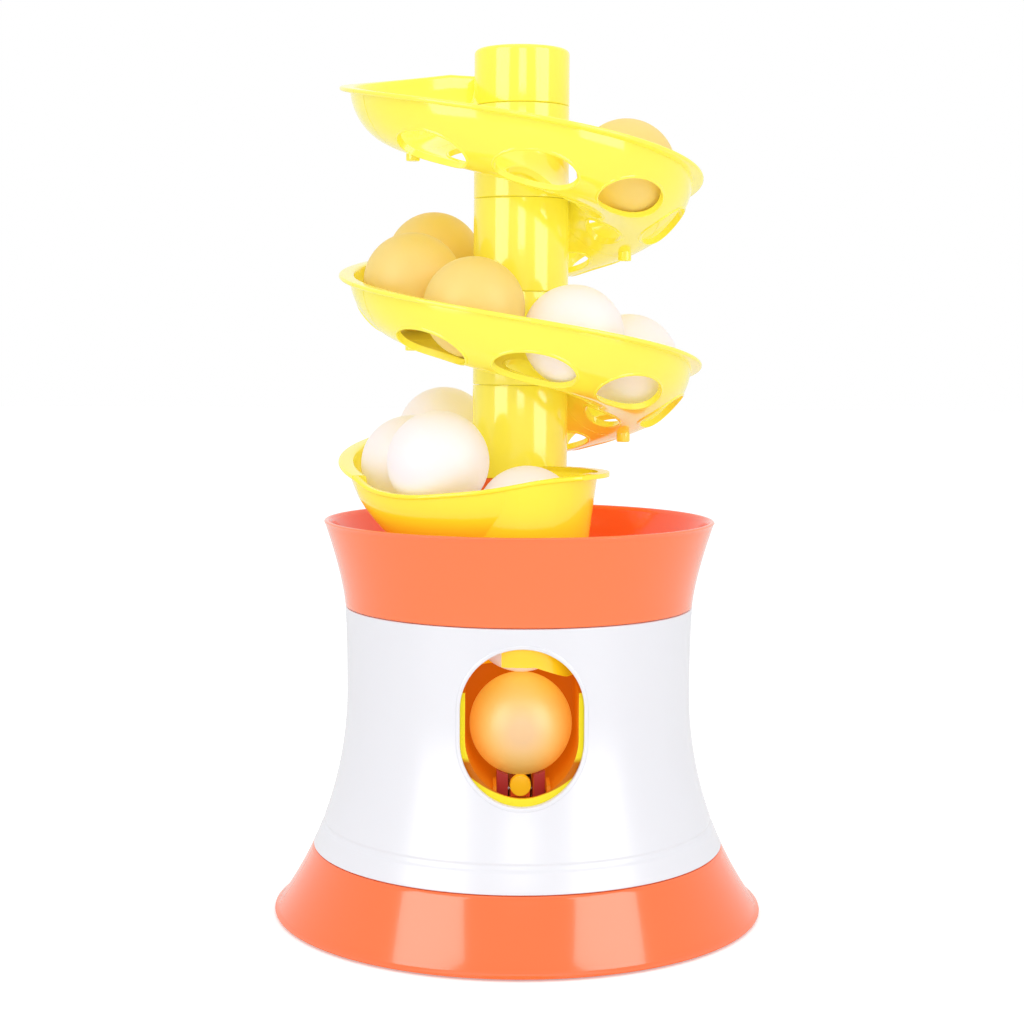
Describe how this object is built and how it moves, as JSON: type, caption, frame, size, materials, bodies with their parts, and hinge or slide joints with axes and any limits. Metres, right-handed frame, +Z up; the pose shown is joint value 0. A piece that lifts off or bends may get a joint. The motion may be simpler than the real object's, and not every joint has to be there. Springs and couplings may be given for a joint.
{
  "type": "table tennis robot",
  "caption": "Table tennis ball launcher with a waisted body, a launch window and a spiral ball channel round a stacked column above a flared bowl.",
  "frame": {"origin": "centre of the footprint on the surface that the feet stand on", "axes": "+Z up along the column, -Y the side of the launch window, +X right when facing that side from the front"},
  "size_m": [0.1996, 0.1996, 0.3525],
  "materials": {
    "yellow_plastic": "gloss",
    "orange_plastic": "gloss",
    "white_plastic": "gloss",
    "red_plastic": "satin",
    "orange_ball": "matte",
    "white_ball": "matte",
    "gear_plastic": "satin",
    "grey_plastic": "satin",
    "rubber": "matte",
    "steel": "satin",
    "cell_sleeve": "gloss"
  },
  "bodies": {
    "housing": {"base_ring": "orange_plastic", "white_shell": "white_plastic", "top_bowl": "orange_plastic", "final_chute": "yellow_plastic", "launch_cradle": "yellow_plastic", "ball_guide": "red_plastic", "base_plate": "grey_plastic", "rubber_foot_1": "rubber", "rubber_foot_2": "rubber", "rubber_foot_3": "rubber", "rubber_foot_4": "rubber", "battery_tray": "grey_plastic", "battery_cell_1": "cell_sleeve", "battery_cell_2": "cell_sleeve", "battery_cell_3": "cell_sleeve", "battery_cell_4": "cell_sleeve", "battery_contact_front": "steel", "battery_contact_back": "steel", "gear_plate_left": "grey_plastic", "gear_plate_right": "grey_plastic", "striker_axle": "steel", "cam_axle": "steel", "idler_axle": "steel", "motor_can": "steel", "torsion_spring": "steel", "switch_body": "grey_plastic", "ball_white_5": "white_ball", "ball_white_6": "white_ball", "ball_white_7": "white_ball"},
    "tower": {"track_start": "yellow_plastic", "track_turn_1": "yellow_plastic", "track_turn_2": "yellow_plastic", "track_turn_3": "yellow_plastic", "track_turn_4": "yellow_plastic", "ball_orange_1": "orange_ball", "ball_orange_2": "orange_ball", "ball_orange_3": "orange_ball", "ball_orange_4": "orange_ball", "ball_white_1": "white_ball", "ball_white_2": "white_ball", "ball_white_3": "white_ball", "ball_white_4": "white_ball"},
    "striker": {"striker_lever": "orange_plastic", "striker_boss": "yellow_plastic"},
    "launched": {"launch_ball": "orange_ball"},
    "cam": {"cam_gear": "gear_plastic"},
    "idler": {"idler_gear": "gear_plastic"},
    "motor": {"motor_pinion": "steel"},
    "knob": {"switch_knob": "rubber"},
    "door": {"battery_door": "grey_plastic"}
  },
  "joints": [
    {"name": "tower_lift", "type": "slide", "parent": "housing", "child": "tower", "axis": [0, 0, 1], "range_m": [0, 0.05]},
    {"name": "ball_launch", "type": "slide", "parent": "housing", "child": "launched", "axis": [0, -0.9848, 0.1736], "range_m": [0, 0.06]},
    {"name": "striker_swing", "type": "hinge", "parent": "housing", "child": "striker", "pos_m": [0, -0.012, 0.051], "axis": [-1, 0, 0], "range_deg": [0, 25]},
    {"name": "cam_spin", "type": "hinge", "parent": "housing", "child": "cam", "pos_m": [0, 0.006, 0.0382], "axis": [1, 0, 0], "continuous": true},
    {"name": "idler_spin", "type": "hinge", "parent": "housing", "child": "idler", "pos_m": [0, 0.02012, 0.05], "axis": [1, 0, 0], "continuous": true},
    {"name": "motor_spin", "type": "hinge", "parent": "housing", "child": "motor", "pos_m": [0, 0.03741, 0.0563], "axis": [1, 0, 0], "continuous": true},
    {"name": "switch_slide", "type": "slide", "parent": "housing", "child": "knob", "axis": [1, 0, 0], "range_m": [0, 0.006]},
    {"name": "door_removal", "type": "slide", "parent": "housing", "child": "door", "axis": [0, 0, -1], "range_m": [0, 0.012]}
  ],
  "couplings": [
    {"joint": "striker_swing", "follows": "ball_launch", "rad_per_m": 7.2722},
    {"joint": "idler_spin", "follows": "cam_spin", "ratio": -3.6},
    {"joint": "motor_spin", "follows": "cam_spin", "ratio": 12.96}
  ]
}
